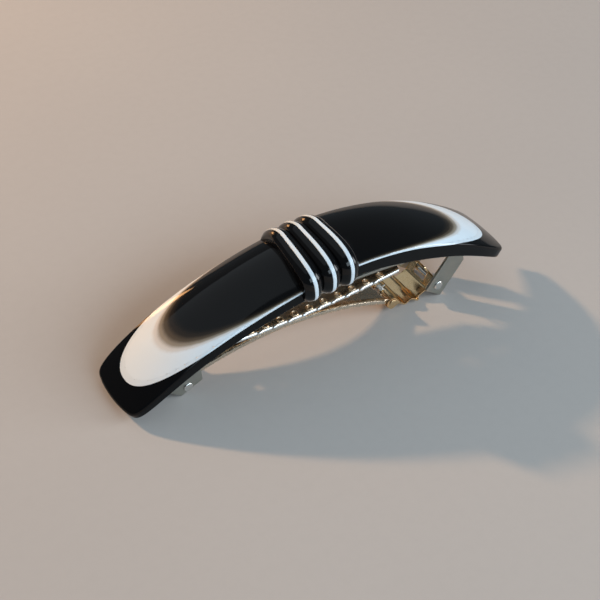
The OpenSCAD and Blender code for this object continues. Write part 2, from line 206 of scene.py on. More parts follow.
def sheet_metal(outline, holes, thickness, bend, edge=0.12, step=0.8, grid=1.0,
                raised=lambda u, v: 0.0):
    """A pressed sheet with rounded edges: outline and holes are flat, bend(u, v, h) gives the place.

    raised(u, v) lifts both faces by that much before bending.
    """
    loops = []
    for k, loop in enumerate([outline] + list(holes)):
        loop = dense(loop, step)
        if (loop_area(loop) > 0) != (k == 0):
            loop = loop[::-1]
        p = np.array(loop)
        along = np.roll(p, -1, 0) - np.roll(p, 1, 0)
        along /= np.linalg.norm(along, axis=1)[:, None] + 1e-12
        outward = np.stack([along[:, 1], -along[:, 0]], 1)
        loops.append((p, outward))
    e = min(edge, thickness * 0.45)
    mid = e * (1 - math.sqrt(0.5))
    rings = [(e, thickness), (mid, thickness - mid), (0, thickness - e), (0, e), (mid, mid), (e, 0)]
    flat_loops = [p - n * e for p, n in loops]
    lo, hi = flat_loops[0].min(0), flat_loops[0].max(0)
    nu, nv = (max(1, int((hi[i] - lo[i]) / grid)) for i in (0, 1))
    us, vs = np.linspace(lo[0], hi[0], nu + 1), np.linspace(lo[1], hi[1], nv + 1)
    inner = np.array([(u, v) for u in us for v in vs])

    def in_sheet(points):
        found = inside(points, flat_loops[0])
        for loop in flat_loops[1:]:
            found &= ~inside(points, loop)
        return found

    keep = in_sheet(inner)
    for loop in flat_loops:
        near = np.min(np.linalg.norm(inner[:, None, :] - loop[None, :, :], axis=2), axis=1)
        keep &= near > grid * 0.35
    inner = inner[keep]
    flat, edges, start = [], [], 0
    for loop in flat_loops:
        flat += [Vector(p) for p in loop]
        n = len(loop)
        edges += [(start + i, start + (i + 1) % n) for i in range(n)]
        start += n
    flat += [Vector(p) for p in inner]
    got = delaunay_2d_cdt(flat, edges, [], 0, 1e-7)
    where = np.array([tuple(v) for v in got[0]])
    tris = [f for f in got[2] if len(f) == 3]
    centres = np.array([where[list(f)].mean(0) for f in tris])
    tris = [f for f, k in zip(tris, in_sheet(centres)) if k]
    points, faces = [], []
    for h, flip in ((thickness, False), (0, True)):
        base = len(points)
        points += [bend(u, v, h + raised(u, v)) for u, v in where]
        faces += [tuple(base + i for i in (f[::-1] if flip else f)) for f in tris]
    for p, n in loops:
        count, base = len(p), len(points)
        for inset, h in rings:
            for (u, v), d in zip(p, n):
                u, v = u - d[0] * inset, v - d[1] * inset
                points.append(bend(u, v, h + raised(u, v)))
        for r in range(len(rings) - 1):
            for i in range(count):
                j = (i + 1) % count
                a, b = base + r * count, base + (r + 1) * count
                faces.append((a + i, b + i, b + j, a + j))
    return weld(points, faces)


def same_points(points, distance):
    """The points to keep, and for every point the kept one that it joins."""
    key = np.round(points / distance).astype(np.int64)
    _, first, back = np.unique(key, axis=0, return_index=True, return_inverse=True)
    return first, back.reshape(-1)


def joined_faces(faces, back):
    """For each face that keeps an area: its number, which corners are left, and their new points."""
    for number, f in enumerate(faces):
        g = [int(back[i]) for i in f]
        left = [k for k in range(len(g)) if g[k] != g[k - 1]]
        g = tuple(g[k] for k in left)
        if len(g) >= 3 and len(set(g)) == len(g):
            yield number, left, g


def weld(points, faces):
    """Joins points that coincide and drops faces that collapse."""
    points = np.asarray(points, float)
    first, back = same_points(points, 1e-5)
    return points[first], [g for _, _, g in joined_faces(faces, back)]


def quads(rows, count, closed=False):
    """Faces between rows of count points each; closed joins the last row to the first."""
    faces = []
    for row in range(rows if closed else rows - 1):
        a, b = row * count, (row + 1) % rows * count
        for k in range(count):
            j = (k + 1) % count
            faces.append((a + k, a + j, b + j, b + k))
    return faces


def lids(rows, count):
    """The two faces that shut the open ends of a tube of rows."""
    return [tuple(range(count)), tuple((rows - 1) * count + k for k in range(count))[::-1]]


def lathe(profile, at, count=40):
    """Turns (distance along Y, radius) points round the pin axis at `at`."""
    points = [(x, d, z) for d, r in profile for x, z in circle(at, r, count)]
    return points, quads(len(profile), count) + lids(len(profile), count)


def tube(path, radius, count=12):
    """A round wire along a path of points."""
    path = [Vector(p) for p in path]
    points = []
    side = None
    for k, p in enumerate(path):
        along = (path[min(k + 1, len(path) - 1)] - path[max(k - 1, 0)]).normalized()
        if side is None:
            side = along.orthogonal().normalized()
        side = (side - along * side.dot(along)).normalized()
        other = along.cross(side)
        points += [tuple(p + side * a + other * b) for a, b in circle((0, 0), radius, count)]
    return points, quads(len(path), count) + lids(len(path), count)


# ---------------------------------------------------------------- materials
class Paint:
    """A node material round one Principled shader, patterned in the piece's own coordinates."""

    def __init__(self, name):
        self.material = bpy.data.materials.new(name)
        self.material.use_nodes = True
        self.tree = self.material.node_tree
        self.shader = self.tree.nodes["Principled BSDF"]
        self.place = self.node("ShaderNodeTexCoord").outputs["Object"]

    def node(self, kind, **settings):
        n = self.tree.nodes.new(kind)
        for key, value in settings.items():
            setattr(n, key, value)
        return n

    def put(self, node, key, value):
        """Wires or sets the input of a node that has this name or number."""
        socket = node.inputs[key]
        if isinstance(value, bpy.types.NodeSocket):
            self.tree.links.new(value, socket)
        else:
            socket.default_value = value

    def set(self, **values):
        """Wires or sets inputs of the shader; an underscore stands for a space."""
        for key, value in values.items():
            self.put(self.shader, key.replace("_", " "), value)

    def noise(self, size_mm, detail=3.0, rough=0.55, stretch=(1, 1, 1)):
        """Noise whose blobs are about size_mm across, from 0 to 1."""
        mapping = self.node("ShaderNodeMapping")
        self.put(mapping, "Vector", self.place)
        self.put(mapping, "Scale", stretch)
        n = self.node("ShaderNodeTexNoise")
        self.put(n, "Vector", mapping.outputs["Vector"])
        self.put(n, "Scale", 1000.0 / size_mm)
        self.put(n, "Detail", detail)
        self.put(n, "Roughness", rough)
        return n.outputs["Fac"]

    def attribute(self, name):
        return self.node("ShaderNodeAttribute", attribute_name=name).outputs["Fac"]

    def math(self, operation, a, b=0.0, clamp=False):
        n = self.node("ShaderNodeMath", operation=operation, use_clamp=clamp)
        self.put(n, 0, a)
        self.put(n, 1, b)
        return n.outputs[0]

    def ranged(self, value, a0, a1, b0, b1):
        n = self.node("ShaderNodeMapRange", interpolation_type="SMOOTHSTEP")
        names = ("Value", "From Min", "From Max", "To Min", "To Max")
        for key, v in zip(names, (value, a0, a1, b0, b1)):
            self.put(n, key, v)
        return n.outputs["Result"]

    def mix(self, amount, a, b):
        n = self.node("ShaderNodeMix", data_type="RGBA")
        for key, value in ((0, amount), (6, a), (7, b)):
            self.put(n, key, value)
        return n.outputs[2]

    def ramp(self, value, stops):
        n = self.node("ShaderNodeValToRGB")
        self.put(n, "Fac", value)
        line = n.color_ramp
        line.interpolation = "EASE"
        while len(line.elements) < len(stops):
            line.elements.new(0.5)
        for element, (at, colour) in zip(line.elements, stops):
            element.position = at
            element.color = (*colour, 1)
        return n.outputs["Color"]

    def bump(self, layers):
        """layers are (height socket, depth in mm, strength) from broad to fine."""
        last = None
        for height, depth_mm, strength in layers:
            n = self.node("ShaderNodeBump")
            self.put(n, "Height", height)
            self.put(n, "Distance", depth_mm * MM)
            self.put(n, "Strength", strength)
            if last is not None:
                self.put(n, "Normal", last)
            last = n.outputs["Normal"]
        self.set(Normal=last)


BLACK = (0.0022, 0.0023, 0.0027)
WHITE = (0.83, 0.93, 1.0)
SMOKE = (0.0032, 0.0030, 0.0032)
DARK_RESIN_IOR = 1.39
WHITE_RESIN_IOR = 1.46


def polish(paint, base, spread):
    """Hand-polished resin: faint buffing lines, slight haze patches and a soft waviness."""
    haze = paint.noise(9, 3)
    lines = paint.noise(0.9, 4, 0.7, stretch=(0.12, 1.4, 1.4))
    rough = paint.math("ADD", paint.ranged(haze, 0.35, 0.7, base, base + spread),
                       paint.ranged(lines, 0.62, 0.8, 0.0, spread * 1.6))
    paint.set(Roughness=rough)
    paint.bump([(paint.noise(13, 1), 0.05, 0.25), (lines, 0.0025, 0.25)])


def black_resin(name, gloss=0.5):
    paint = Paint(name)
    cloud = paint.noise(7, 3)
    paint.set(Base_Color=paint.mix(cloud, (*BLACK, 1), (0.0038, 0.0038, 0.0044, 1)))
    paint.set(IOR=DARK_RESIN_IOR, Specular_IOR_Level=gloss)
    polish(paint, 0.055, 0.05)
    return paint.material


def white_resin(name):
    paint = Paint(name)
    cloud = paint.noise(4, 4)
    paint.set(Base_Color=paint.mix(cloud, (*WHITE, 1), (0.80, 0.90, 0.97, 1)))
    paint.set(IOR=WHITE_RESIN_IOR, Subsurface_Weight=0.12, Subsurface_Scale=0.0012)
    paint.set(Subsurface_Radius=(1.0, 0.9, 0.8))
    polish(paint, 0.10, 0.08)
    return paint.material


def smoke_resin(name):
    """The veil attribute runs from 0, where the clear layer has no depth, to 1, where it looks black."""
    paint = Paint(name)
    cloud = paint.math("MULTIPLY", paint.math("SUBTRACT", paint.noise(1.6, 5, 0.65), 0.5), 0.07)
    depth = paint.math("ADD", paint.attribute("veil"), cloud, clamp=True)
    paint.set(Base_Color=paint.ramp(depth, [
        (0.0, WHITE), (0.12, (0.72, 0.715, 0.70)), (0.32, (0.30, 0.262, 0.208)),
        (0.55, (0.085, 0.066, 0.044)), (0.78, (0.020, 0.0150, 0.0102)), (1.0, SMOKE)]))
    paint.set(IOR=DARK_RESIN_IOR)
    polish(paint, 0.055, 0.05)
    return paint.material


def metal(name, colour, second, rough, spread,
          grain_mm=0.5, grain=(1, 1, 1), dent=0.004, dark=None, tones=None):
    """Plated metal: cloudy plating colour, worn streaks, fine grain, dark mottled spots.

    tones are ramp stops over the mesh's own tone attribute, which paints shade and light on the strip and
    the arm; without them the colour is even.
    """
    paint = Paint(name)
    cloud = paint.noise(2.2, 4, 0.6)
    if tones is None:
        tone = paint.mix(cloud, (*colour, 1), (*second, 1))
    else:
        first = paint.ramp(paint.attribute("tone"), tones)
        tone = paint.mix(paint.math("MULTIPLY", cloud, 0.5), first, (*second, 1))
    if dark is not None:
        spots = paint.ranged(paint.noise(0.55, 3, 0.7), 0.60, 0.74, 0.0, 0.75)
        tone = paint.mix(spots, tone, (*dark, 1))
    paint.set(Base_Color=tone)
    paint.set(Metallic=1.0)
    grain_noise = paint.noise(grain_mm, 4, 0.65, stretch=grain)
    patches = paint.noise(1.7, 3)
    paint.set(Roughness=paint.math("ADD", paint.ranged(patches, 0.3, 0.7, rough, rough + spread),
                               paint.ranged(grain_noise, 0.45, 0.75, 0.0, spread)))
    paint.bump([(paint.noise(1.1, 2), dent * 3, 0.35), (grain_noise, dent, 0.5)])
    return paint.material


def glue(name):
    paint = Paint(name)
    paint.set(Base_Color=paint.mix(paint.noise(1.2, 4), (0.012, 0.012, 0.012, 1), (0.03, 0.029, 0.028, 1)))
    paint.set(Roughness=paint.ranged(paint.noise(0.8, 3), 0.3, 0.7, 0.28, 0.55))
    paint.bump([(paint.noise(1.6, 3), 0.12, 0.6)])
    return paint.material


def floor_paint(name):
    """Plain matt painted board."""
    paint = Paint(name)
    broad = paint.noise(190, 2)
    fine = paint.noise(3, 5, 0.6)
    broad_mix = paint.ranged(broad, 0.3, 0.7, 0.0, 1.0)
    tone = paint.mix(broad_mix, (0.48, 0.455, 0.432, 1), (0.505, 0.478, 0.452, 1))
    paint.set(Base_Color=paint.mix(paint.ranged(fine, 0.4, 0.7, 0.0, 0.12), tone, (0.45, 0.427, 0.405, 1)))
    paint.set(Roughness=paint.ranged(fine, 0.3, 0.7, 0.62, 0.78))
    paint.set(Specular_IOR_Level=0.25)
    paint.bump([(fine, 0.03, 0.15)])
    return paint.material


M_BLACK = black_resin("black_resin", 0.3)
M_RING_BLACK = black_resin("ring_black")
M_WHITE = white_resin("white_resin")
M_RING_WHITE = white_resin("ring_white")
M_SMOKE = smoke_resin("smoke_resin")
M_GLUE = glue("adhesive")
M_STEEL = metal("satin_steel", (0.50, 0.50, 0.455), (0.43, 0.425, 0.38), 0.34, 0.10,
                grain_mm=0.35, grain=(0.25, 1, 1), dent=0.003)
M_PIN = metal("polished_pin", (0.86, 0.85, 0.82), (0.78, 0.77, 0.74), 0.09, 0.10, grain_mm=0.3)
# Ramp for the strip and the arm: the dark brown at 0 is painted shade, the gold near 0.35 to 0.5 is a
# painted warm reflection, and the pale nickel towards 1 is the metal's own colour.
PAINTED_SHADE_GLINT_NICKEL = [(0.0, (0.34, 0.24, 0.15)), (0.35, (0.80, 0.56, 0.32)), (0.5, (0.86, 0.64, 0.40)),
                  (0.75, (0.90, 0.89, 0.86)), (1.0, (0.93, 0.93, 0.91))]
M_STRIP = metal("nickel_strip", (0.72, 0.70, 0.66), (0.80, 0.77, 0.72), 0.22, 0.14,
                grain_mm=0.3, dark=(0.30, 0.20, 0.11), tones=PAINTED_SHADE_GLINT_NICKEL)
M_ARM = metal("nickel_arm", (0.74, 0.69, 0.60), (0.80, 0.74, 0.66), 0.16, 0.12,
              grain_mm=0.35, dark=(0.40, 0.25, 0.14), tones=PAINTED_SHADE_GLINT_NICKEL)
M_LATCH = metal("latch_brass", (0.92, 0.70, 0.42), (0.84, 0.55, 0.27), 0.09, 0.10, grain_mm=0.4,
                dark=(0.62, 0.36, 0.15))
M_WIRE = metal("spring_wire", (0.55, 0.53, 0.49), (0.42, 0.40, 0.36), 0.22, 0.10, grain_mm=0.2)

# ---------------------------------------------------------------- bar
BAR_R = 90.0
BAR_HALF = 55.0
BAR_RIGHT = 54.6
BAR_HALF_W = 10.0
TAPER = 0.045
END_BULGE = 1.3
CORNER = 13.0
EDGE_ROUND = 0.75
FOOT_ROUND = 0.3
WHITE_T = 0.35
# Heights over the arc of the underside: the white sheet on the long walls, the walls and the crest
LAMINATE_H = 2.6
WALL_H = 3.15
WALL_FALL = 1.25
WALL_RISE = 1.25
END_H = 2.2
CREST_RISE = 4.75
CROWN_POWER = 2.1


def bump_at(s, centre, half):
    return np.exp(-((s - centre) / half) ** 2)


def smooth(x, a, b):
    t = np.clip((x - a) / (b - a), 0, 1)
    return t * t * (3 - 2 * t)


def half_width(s):
    return BAR_HALF_W * (1 - TAPER * (s / BAR_HALF) ** 2)


def underside(s):
    """Height of the shallow hollow under the rings."""
    return 0.95 * bump_at(s, 5, 13)


def laminate(s):
    """Height of the white sheet's underside on the long walls."""
    return LAMINATE_H + 1.3 * smooth(s, -24, 12) - 0.5 * smooth(s, 18, 34)


def wall_top(s):
    """Height of the long walls: lower towards the ends, and thicker on the right half."""
    u = s / BAR_HALF
    return WALL_H - WALL_FALL * u * u + smooth(s, -22, 12) * (WALL_RISE - 0.65 * smooth(s, 20, 52))


def crest(s):
    u = np.minimum(1, np.abs(s) / BAR_HALF)
    return END_H + CREST_RISE * (1 - u * u) ** 1.12 + 0.7 * smooth(s, 28, 52) + 0.2 * smooth(-s, 40, 54)


def bar_top(s, y):
    """Height of the bar's top over the arc of its underside."""
    r = np.minimum(1, np.abs(y) / half_width(s))
    edge = wall_top(s)
    return edge + np.maximum(0.25, crest(s) - edge) * (1 - r ** CROWN_POWER)


def on_arc(s, y, h):
    a = np.asarray(s) / BAR_R
    r = BAR_R + h
    return np.stack([r * np.sin(a), np.asarray(y) + 0 * a, r * np.cos(a) - BAR_R], -1)


def outline_at(p, q):
    """Plan outline of the bar where the unit square's (p, q) direction meets it, and its outward normal."""
    m = np.maximum(np.abs(p), np.abs(q))
    p, q = np.where(m == 0, 1, p) / np.where(m == 0, 1, m), q / np.where(m == 0, 1, m)
    r = (np.abs(p) ** CORNER + np.abs(q) ** CORNER) ** (-1 / CORNER)
    a, b = p * r, q * r
    s = a * (np.where(a > 0, BAR_RIGHT, BAR_HALF) - END_BULGE * b * b)
    y = b * BAR_HALF_W * (1 - TAPER * a * a)
    n = np.stack([np.sign(a) * np.abs(a) ** (CORNER - 1) / BAR_HALF,
                  np.sign(b) * np.abs(b) ** (CORNER - 1) / BAR_HALF_W], -1)
    n[..., 0] += np.sign(a) * 1e-9
    n /= np.linalg.norm(n, axis=-1, keepdims=True)
    return s, y, n


def bar_skin():
    """The whole outer skin of the bar as arrays of s, y, h and a face list."""
    count_p, count_q = 260, 52
    i, j = np.meshgrid(np.arange(count_p + 1), np.arange(count_q + 1), indexing="ij")
    p, q = 2 * i / count_p - 1, 2 * j / count_q - 1
    m = np.maximum(np.abs(p), np.abs(q))
    s0, y0, n = outline_at(p, q)
    slope = (bar_top(s0 - 0.6 * n[..., 0], y0 - 0.6 * n[..., 1]) - bar_top(s0, y0)) / 0.6
    phi0 = np.arctan(np.clip(slope, 0.02, 2))
    inset = EDGE_ROUND * (1 - np.sin(phi0))
    s1, y1 = s0 - inset * n[..., 0], y0 - inset * n[..., 1]
    layers = [(m * s1, m * y1, bar_top(m * s1, m * y1))]
    rim = ([(a, 0) for a in range(count_p)] + [(count_p, b) for b in range(count_q)]
           + [(a, count_q) for a in range(count_p, 0, -1)] + [(0, b) for b in range(count_q, 0, -1)])
    ri, rj = np.array(rim).T
    sr, yr, nr, ph = s0[ri, rj], y0[ri, rj], n[ri, rj], phi0[ri, rj]
    hub = bar_top(s1[ri, rj], y1[ri, rj]) - EDGE_ROUND * np.cos(ph)
    foot = underside(sr) + FOOT_ROUND
    steps = []
    for k in range(1, 7):
        a = ph + (math.pi / 2 - ph) * k / 6
        steps.append((EDGE_ROUND * (1 - np.sin(a)), hub + EDGE_ROUND * np.cos(a)))
    steps += [(0, hub + (foot - hub) * k / 7) for k in range(1, 7)]
    for k in range(0, 5):
        a = math.pi / 2 * k / 4
        steps.append((FOOT_ROUND * (1 - math.cos(a)), foot - FOOT_ROUND * math.sin(a)))
    s2, y2 = s0 - FOOT_ROUND * n[..., 0], y0 - FOOT_ROUND * n[..., 1]
    top = lambda a, b: a * (count_q + 1) + b
    faces = [(top(a, b), top(a + 1, b), top(a + 1, b + 1), top(a, b + 1))
             for a in range(count_p) for b in range(count_q)]
    around = len(rim)
    last = [top(a, b) for a, b in rim]
    start = m.size
    for d, h in steps:
        layers.append((sr - d * nr[:, 0], yr - d * nr[:, 1], h))
        new = list(range(start, start + around))
        for k in range(around):
            j = (k + 1) % around
            faces.append((last[j], last[k], new[k], new[j]))
        last, start = new, start + around
    layers.append((m * s2, m * y2, underside(m * s2)))
    faces += [tuple(start + x for x in (top(a, b), top(a, b + 1), top(a + 1, b + 1), top(a + 1, b)))
              for a in range(count_p) for b in range(count_q)]
    ends = [start + top(a, b) for a, b in rim]
    weld_to = dict(zip(ends, last))
    faces = [tuple(weld_to.get(x, x) for x in f) for f in faces]
    return (*(np.concatenate([x.ravel() for x in column]) for column in zip(*layers)), faces)


# The white sheet's outer line on the top: its reach left and right, its half width and two powers
BAND_REACH = (50.1, 49.6)
BAND_WIDE = 10.6
BAND_END = 4.4
BAND_SIDE = 2.3
# Where the clear layer starts to darken and where it is black: reach left and right, half widths
VEIL_START = (41.2, 42.2)
VEIL_END = (33.2, 35.3)
VEIL_WIDE = (10.3, 9.4)
VEIL_BACK = 0.5
VEIL_POWER = (3.4, 2.3)
# Softness of the corner where the white sheet turns from the top to the long walls
SHEET_CORNER = 0.12


def sheet_depth(s, y, h):
    """Depth of the white sheet's underside below a skin point: positive where the skin is above it."""
    reach = np.where(s < 0, *BAND_REACH)
    on_top = 3.0 * (1 - (np.abs(s) / reach) ** BAND_END - (np.abs(y) / BAND_WIDE) ** BAND_SIDE)
    parts = [np.exp(-np.clip(d, -4, 6) / SHEET_CORNER) for d in (on_top, h - laminate(s))]
    return -SHEET_CORNER * np.log(parts[0] + parts[1])


def veil_at(s, y):
    """How dark the clear layer looks, from the family of lines between its start and its end."""
    right = np.where(s < 0, 0, 1)
    start, end = np.where(s < 0, *VEIL_START), np.where(s < 0, *VEIL_END)
    lo, hi = np.full(len(s), -0.6), np.full(len(s), 1.6)
    for _ in range(30):
        mid = (lo + hi) / 2
        reach = start + (end - start) * mid
        wide = VEIL_WIDE[0] + (VEIL_WIDE[1] - VEIL_WIDE[0]) * mid + VEIL_BACK * smooth(y, 0, 7) * right
        out = (np.abs(s) / reach) ** VEIL_POWER[0] + (np.abs(y) / wide) ** VEIL_POWER[1] > 1
        hi, lo = np.where(out, mid, hi), np.where(out, lo, mid)
    return smooth(lo, -0.05, 1.1)


def slice_mesh(s, y, h, depth, faces, level):
    """Cuts the skin along depth == level, so that its line is made of edges."""
    bm = bmesh.new()
    layer = bm.verts.layers.float.new("depth")
    for a, b, c, d in zip(s, y, h, depth):
        v = bm.verts.new((a, b, c))
        v[layer] = level if abs(d - level) < 2e-3 else d
    bm.verts.ensure_lookup_table()
    for f in faces:
        if len(set(f)) == len(f):
            bm.faces.new([bm.verts[i] for i in f])
    crossing = [e for e in bm.edges if (e.verts[0][layer] - level) * (e.verts[1][layer] - level) < 0]
    for e in crossing:
        a, b = e.verts
        t = (level - a[layer]) / (b[layer] - a[layer])
        _, v = bmesh.utils.edge_split(e, a, t)
        v[layer] = level
    for f in list(bm.faces):
        on = [v for v in f.verts if v[layer] == level]
        if len(on) != 2 or len(f.verts) < 4:
            continue
        values = [v[layer] for v in f.verts]
        if min(values) < level < max(values) and not any(set(e.verts) == set(on) for e in f.edges):
            bmesh.utils.face_split(f, on[0], on[1])
    bm.verts.index_update()
    co = np.array([v.co for v in bm.verts])
    out = (co[:, 0], co[:, 1], co[:, 2], np.array([v[layer] for v in bm.verts]),
           [tuple(v.index for v in f.verts) for f in bm.faces])
    bm.free()
    return out


def vertex_normals(points, faces):
    normals = np.zeros_like(points)
    for size in set(len(f) for f in faces):
        f = np.array([g for g in faces if len(g) == size])
        area = np.zeros((len(f), 3))
        for k in range(size):
            area += np.cross(points[f[:, k]], points[f[:, (k + 1) % size]])
        for k in range(size):
            np.add.at(normals, f[:, k], area)
    return normals / (np.linalg.norm(normals, axis=1)[:, None] + 1e-12)


def build_bar():
    """The bar's three layers: its skin is cut where the white sheet's two faces come out."""
    s, y, h, faces = bar_skin()
    depth = sheet_depth(s, y, h)
    s, y, h, depth, faces = slice_mesh(s, y, h, depth, faces, 0.0)
    s, y, h, depth, faces = slice_mesh(s, y, h, depth, faces, WHITE_T)
    skin = on_arc(s, y, h)
    normals = vertex_normals(skin, faces)
    veil = veil_at(s, y)
    low_depth, high_depth = depth.copy(), depth - WHITE_T
    for f in faces:
        middle = np.mean(depth[list(f)])
        if middle < 0:
            low_depth[list(f)] = 0
        if middle < WHITE_T:
            high_depth[list(f)] = 0
    low = on_arc(s, y, h - np.maximum(0, low_depth))
    high = on_arc(s, y, h - np.maximum(0, high_depth))
    inner = [f for f in faces if max(high_depth[i] for i in f) > 1e-6]
    outer = [f for f in faces if max(high_depth[i] for i in f) <= 1e-6]
    band = [f for f in outer if max(low_depth[i] for i in f) > 1e-6]
    lower = [f for f in outer if max(low_depth[i] for i in f) <= 1e-6]
    flip = lambda fs: [f[::-1] for f in fs]
    rows = (
        ("bar_lower_layer", "black_resin", M_BLACK, [(skin, lower, True), (low, band + inner, False)]),
        ("bar_white_layer", "white_resin", M_WHITE,
         [(skin, band, True), (high, inner, False), (low, flip(band + inner), False)]),
        ("bar_upper_layer", "smoke_resin", M_SMOKE, [(skin, inner, True), (high, flip(inner), False)]),
    )
    for node, slot, material, shells in rows:
        bar_layer(node, slot, material, shells, normals, veil)


def bar_layer(node, slot, material, shells, normals, veil):
    """Closes one layer of the bar from shells of (points, faces, whether they lie on the skin)."""
    points, faces, source, on_skin = [], [], [], []
    for shell_points, shell, is_skin in shells:
        base = len(points) * len(veil)
        points.append(shell_points)
        faces += [tuple(i + base for i in f) for f in shell]
        source += shell
        on_skin += [is_skin] * len(shell)
    points = np.concatenate(points)
    first, back = same_points(points, 1e-4)
    rotate = TO_ROW_NP[:3, :3] / MM
    kept, loops = [], []
    for number, left, g in joined_faces(faces, back):
        kept.append(g)
        for k in left:
            loops.append(tuple(rotate @ normals[source[number][k]]) if on_skin[number] else (0, 0, 0))
    used = np.unique(np.concatenate(kept))
    new_number = {int(v): k for k, v in enumerate(used)}
    mesh = bpy.data.meshes.new(node + "_visual")
    mesh.from_pydata(to_row(points[first][used]).tolist(), [],
                     [tuple(new_number[i] for i in f) for f in kept])
    mesh.polygons.foreach_set("use_smooth", [True] * len(mesh.polygons))
    layer = mesh.attributes.new("veil", "FLOAT", "POINT")
    layer.data.foreach_set("value", veil[first[used] % len(veil)].astype(np.float32))
    mesh.normals_split_custom_set(loops)
    place(mesh, node + "_visual", "barrette", [node], slot, material)


# ---------------------------------------------------------------- rings
# Across the bar a ring reaches RING_FULL_W in front and RING_SLOPE_W behind. Heights are over the arc
# of the bar's underside. The _SQUARE values say how square each quarter of an outline is.
RING_PITCH = 4.6
RING_SHIFT = -2.0
RING_BLACK = 1.8
RING_WHITE = 0.9
RING_FULL_W = 12.2
RING_SLOPE_W = 10.7
RING_LEVEL_W = 3.0
RING_TOP = 9.8
RING_LOW = -2.2
RING_SQUARE = 2.7
RING_SLOPE_SQUARE = 1.5
RING_FOOT_SQUARE = 6.0
RING_TUCK_SQUARE = 2.6
RING_DROP = 1.15
RING_CLOSING = 0.13
RING_SKEW = 0.3
SEAM = 0.07
RING_STEPS = 176
BORE_MID = 3.4
BORE_HALF_W = 10.02
BORE_HALF_H = 3.45
BORE_SQUARE = 7
BORE_EDGE = 3.15
BORE_CROWN = 4.0
BORE_CROWN_W = 10.3


def ring_loop(drop):
    """The ring's outline across the bar, drawn in by `drop`: full to the front, sloping behind."""
    middle, half_h = (RING_TOP + RING_LOW) / 2, (RING_TOP - RING_LOW) / 2 - drop
    y, h = [], []
    for k in range(RING_STEPS):
        a = k * math.tau / RING_STEPS
        a += 0.10 * math.sin(4 * a)
        c, d = math.cos(a), math.sin(a)
        if c <= 0:
            level, reach, square = 0.0, RING_FULL_W - drop, RING_SQUARE if d > 0 else RING_TUCK_SQUARE
        elif d > 0:
            level, reach, square = RING_LEVEL_W, RING_SLOPE_W - drop, RING_SLOPE_SQUARE
        else:
            level, reach, square = 0.0, RING_SLOPE_W - drop, RING_FOOT_SQUARE
        y.append(level + math.copysign(abs(c) ** (2 / square), c) * (reach - level))
        h.append(middle + math.copysign(abs(d) ** (2 / square), d) * half_h)
    return np.array(y), np.array(h)


def bore_loop():
    """The ring's bore: a squared oval round the bar, held under the crown of the bar."""
    y, h = ring_loop(0)
    angle = np.arctan2(h - BORE_MID, y)
    c, d = np.cos(angle), np.sin(angle)
    power = BORE_SQUARE
    r = (np.abs(c / BORE_HALF_W) ** power + np.abs(d / BORE_HALF_H) ** power) ** (-1 / power)
    y, h = r * c, BORE_MID + r * d
    return y, np.minimum(h, BORE_EDGE + BORE_CROWN * (1 - (y / BORE_CROWN_W) ** 2))


def band_piece(ring, side):
    """One band of a ring: a closed barrel slice with softened seams."""
    width = RING_WHITE if side == 0 else RING_BLACK
    offset = side * (RING_WHITE + RING_BLACK) / 2
    middle = RING_SHIFT + ring * RING_PITCH
    total = RING_WHITE / 2 + RING_BLACK
    lo, hi = offset - width / 2, offset + width / 2
    drop_at = lambda d: RING_DROP * (abs(d) / total) ** 2.4 + (0.03 if side else 0.0)
    cuts = [(lo, SEAM), (lo + SEAM * 0.3, SEAM * 0.3), (lo + SEAM, 0)]
    cuts += [(lo + SEAM + (width - 2 * SEAM) * k / 10, 0) for k in range(1, 10)]
    cuts += [(hi - SEAM, 0), (hi - SEAM * 0.3, SEAM * 0.3), (hi, SEAM)]
    points = []
    yb, hb = bore_loop()

    def loop(y, h, d):
        back = smooth(y, -9, 7)
        s = RING_SHIFT + RING_SKEW * back + (middle + d - RING_SHIFT) * (1 - RING_CLOSING * back)
        points.extend(on_arc(s, y, h).tolist())

    loop(yb, hb, lo)
    for d, extra in cuts:
        y, h = ring_loop(drop_at(d) + extra)
        loop(y, h, d)
    loop(yb, hb, hi)
    return points, quads(len(cuts) + 2, RING_STEPS, closed=True)


def build_rings():
    names = {-1: ("ring_left_outer_black", "ring_left_white", "ring_left_inner_black"),
             0: ("ring_middle_left_black", "ring_middle_white", "ring_middle_right_black"),
             1: ("ring_right_inner_black", "ring_right_white", "ring_right_outer_black")}
    for ring, row in names.items():
        for side, node in zip((-1, 0, 1), row):
            add_piece(node + "_visual", [band_piece(ring, side)], "barrette", [node],
                      "ring_white" if side == 0 else "ring_black",
                      M_RING_WHITE if side == 0 else M_RING_BLACK, sharp_deg=50)


# ---------------------------------------------------------------- clip
BASE_R = 170.0
BASE_DROP = 4.8
BASE_T = 0.8
CLIP_HALF = 5.75
SIDE_T = 0.75
BASE_MID_Z = -BASE_DROP - BASE_R


def base_bend(u, v, h):
    a = u / BASE_R
    r = BASE_R - BASE_T + h
    return (r * math.sin(a), v, r * math.cos(a) + BASE_MID_Z)


def base_u(x):
    return BASE_R * math.asin(x / BASE_R)


def base_top_z(x):
    return BASE_MID_Z + math.sqrt(BASE_R ** 2 - x * x)


def upright(y0):
    """Lays a flat sheet in the XZ plane, starting at y0."""
    return lambda u, v, h: (u, y0 + h, v)


def slot_loop(x, half, r):
    return arc_points((x + half, 0), r, -90, 90, 15) + arc_points((x - half, 0), r, 90, 270, 15)


def tower_outline():
    """Side of the catch tower, square to its lean, with one corner on the base plate's end."""
    lean, half = math.radians(36), 3
    up, side = Vector((math.sin(lean), math.cos(lean))), Vector((math.cos(lean), -math.sin(lean)))
    at = lambda along, across: tuple(Vector(CATCH) + along * up + across * side)
    return [at(-2.4, -half), at(-2.4, half), at(8.4, half), (40.5, -9.75), at(9.9, -half)]


